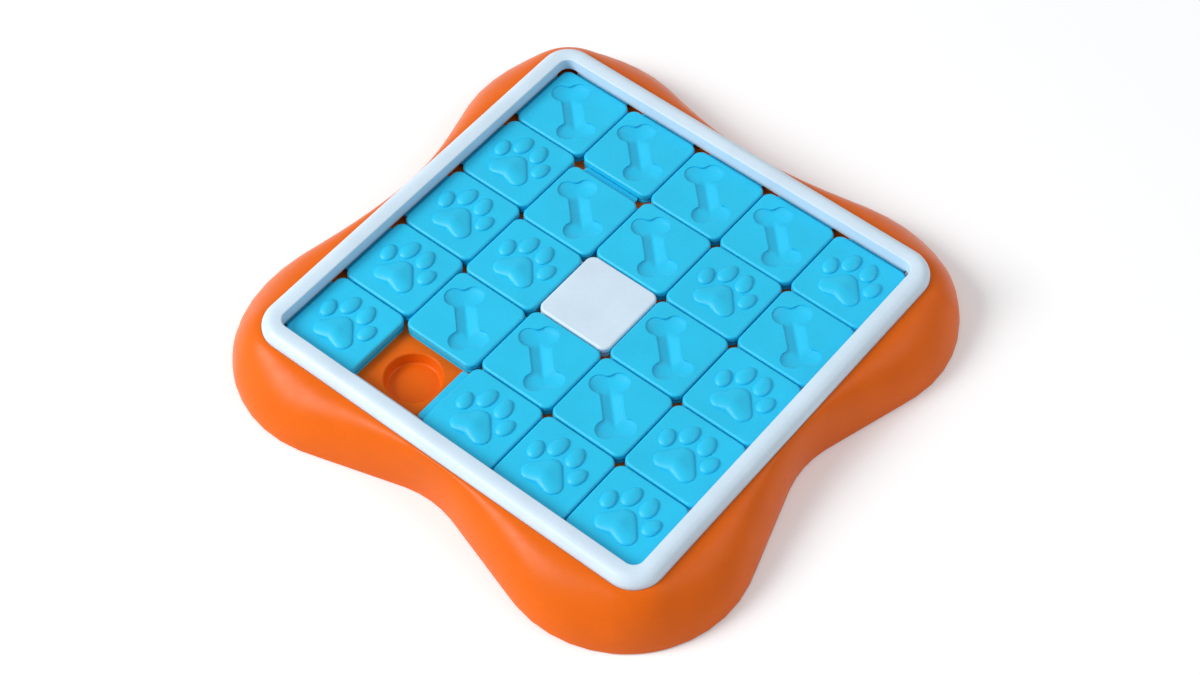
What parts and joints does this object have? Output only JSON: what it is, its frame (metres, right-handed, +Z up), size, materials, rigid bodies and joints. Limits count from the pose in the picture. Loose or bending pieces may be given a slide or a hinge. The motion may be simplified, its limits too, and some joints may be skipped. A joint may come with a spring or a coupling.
{
  "type": "dog puzzle feeder toy",
  "caption": "Lobed tray of treat cups under a framed board of tongue-and-groove sliding tiles, with one place left empty.",
  "frame": {"origin": "on the floor under the middle of the board", "axes": "+Z up, tile columns count along +X, tile rows count along -Y"},
  "size_m": [0.3346, 0.3346, 0.0393],
  "materials": {
    "orange_plastic": "satin, fine grain",
    "pale_blue_plastic": "satin",
    "sky_blue_plastic": "satin, fine grain",
    "foot_rubber": "matte",
    "screw_steel": "plain"
  },
  "bodies": {
    "tray": {"base_tray": "orange_plastic", "slide_frame": "pale_blue_plastic", "frame_screws": "screw_steel", "rubber_feet": "foot_rubber"},
    "tile_0_0": {"tile_r0_c0_bone": "sky_blue_plastic"},
    "tile_0_1": {"tile_r0_c1_bone": "sky_blue_plastic"},
    "tile_0_2": {"tile_r0_c2_bone": "sky_blue_plastic"},
    "tile_0_3": {"tile_r0_c3_bone": "sky_blue_plastic"},
    "tile_0_4": {"tile_r0_c4_paw": "sky_blue_plastic"},
    "tile_1_0": {"tile_r1_c0_paw": "sky_blue_plastic"},
    "tile_1_1": {"tile_r1_c1_bone": "sky_blue_plastic"},
    "tile_1_2": {"tile_r1_c2_bone": "sky_blue_plastic"},
    "tile_1_3": {"tile_r1_c3_paw": "sky_blue_plastic"},
    "tile_1_4": {"tile_r1_c4_bone": "sky_blue_plastic"},
    "tile_2_0": {"tile_r2_c0_paw": "sky_blue_plastic"},
    "tile_2_1": {"tile_r2_c1_paw": "sky_blue_plastic"},
    "tile_2_2": {"centre_tile": "pale_blue_plastic"},
    "tile_2_3": {"tile_r2_c3_bone": "sky_blue_plastic"},
    "tile_2_4": {"tile_r2_c4_paw": "sky_blue_plastic"},
    "tile_3_0": {"tile_r3_c0_paw": "sky_blue_plastic"},
    "tile_3_1": {"tile_r3_c1_bone": "sky_blue_plastic"},
    "tile_3_2": {"tile_r3_c2_bone": "sky_blue_plastic"},
    "tile_3_3": {"tile_r3_c3_bone": "sky_blue_plastic"},
    "tile_3_4": {"tile_r3_c4_paw": "sky_blue_plastic"},
    "tile_4_0": {"tile_r4_c0_paw": "sky_blue_plastic"},
    "tile_4_2": {"tile_r4_c2_paw": "sky_blue_plastic"},
    "tile_4_3": {"tile_r4_c3_paw": "sky_blue_plastic"},
    "tile_4_4": {"tile_r4_c4_paw": "sky_blue_plastic"}
  },
  "joints": [
    {"name": "play_0_0", "type": "slide", "parent": "tray", "child": "tile_0_0", "axis": [0, 1, 0], "range_m": [-0.0002, 0.0002]},
    {"name": "column_top_slide", "type": "slide", "parent": "tile_1_1", "child": "tile_0_1", "axis": [0, -1, 0], "range_m": [0, 0.005]},
    {"name": "play_0_2", "type": "slide", "parent": "tray", "child": "tile_0_2", "axis": [0, 1, 0], "range_m": [-0.0002, 0.0002]},
    {"name": "play_0_3", "type": "slide", "parent": "tray", "child": "tile_0_3", "axis": [0, 1, 0], "range_m": [-0.0002, 0.0002]},
    {"name": "play_0_4", "type": "slide", "parent": "tray", "child": "tile_0_4", "axis": [0, 1, 0], "range_m": [-0.0002, 0.0002]},
    {"name": "play_1_0", "type": "slide", "parent": "tray", "child": "tile_1_0", "axis": [0, 1, 0], "range_m": [-0.0002, 0.0002]},
    {"name": "column_slide_1", "type": "slide", "parent": "tray", "child": "tile_1_1", "axis": [0, -1, 0], "range_m": [0, 0.045]},
    {"name": "play_1_2", "type": "slide", "parent": "tray", "child": "tile_1_2", "axis": [0, 1, 0], "range_m": [-0.0002, 0.0002]},
    {"name": "play_1_3", "type": "slide", "parent": "tray", "child": "tile_1_3", "axis": [0, 1, 0], "range_m": [-0.0002, 0.0002]},
    {"name": "play_1_4", "type": "slide", "parent": "tray", "child": "tile_1_4", "axis": [0, 1, 0], "range_m": [-0.0002, 0.0002]},
    {"name": "play_2_0", "type": "slide", "parent": "tray", "child": "tile_2_0", "axis": [0, 1, 0], "range_m": [-0.0002, 0.0002]},
    {"name": "column_slide_2", "type": "slide", "parent": "tray", "child": "tile_2_1", "axis": [0, -1, 0], "range_m": [0, 0.045]},
    {"name": "play_2_2", "type": "slide", "parent": "tray", "child": "tile_2_2", "axis": [0, 1, 0], "range_m": [-0.0002, 0.0002]},
    {"name": "play_2_3", "type": "slide", "parent": "tray", "child": "tile_2_3", "axis": [0, 1, 0], "range_m": [-0.0002, 0.0002]},
    {"name": "play_2_4", "type": "slide", "parent": "tray", "child": "tile_2_4", "axis": [0, 1, 0], "range_m": [-0.0002, 0.0002]},
    {"name": "play_3_0", "type": "slide", "parent": "tray", "child": "tile_3_0", "axis": [0, 1, 0], "range_m": [-0.0002, 0.0002]},
    {"name": "column_slide_3", "type": "slide", "parent": "tray", "child": "tile_3_1", "axis": [0, -1, 0], "range_m": [0, 0.045]},
    {"name": "play_3_2", "type": "slide", "parent": "tray", "child": "tile_3_2", "axis": [0, 1, 0], "range_m": [-0.0002, 0.0002]},
    {"name": "play_3_3", "type": "slide", "parent": "tray", "child": "tile_3_3", "axis": [0, 1, 0], "range_m": [-0.0002, 0.0002]},
    {"name": "play_3_4", "type": "slide", "parent": "tray", "child": "tile_3_4", "axis": [0, 1, 0], "range_m": [-0.0002, 0.0002]},
    {"name": "play_4_0", "type": "slide", "parent": "tray", "child": "tile_4_0", "axis": [1, 0, 0], "range_m": [-0.0002, 0.0002]},
    {"name": "play_4_2", "type": "slide", "parent": "tray", "child": "tile_4_2", "axis": [1, 0, 0], "range_m": [-0.0002, 0.0002]},
    {"name": "play_4_3", "type": "slide", "parent": "tray", "child": "tile_4_3", "axis": [1, 0, 0], "range_m": [-0.0002, 0.0002]},
    {"name": "play_4_4", "type": "slide", "parent": "tray", "child": "tile_4_4", "axis": [1, 0, 0], "range_m": [-0.0002, 0.0002]}
  ],
  "couplings": [
    {"joint": "column_slide_2", "follows": "column_slide_3", "ratio": 1},
    {"joint": "column_slide_1", "follows": "column_slide_3", "ratio": 1}
  ]
}
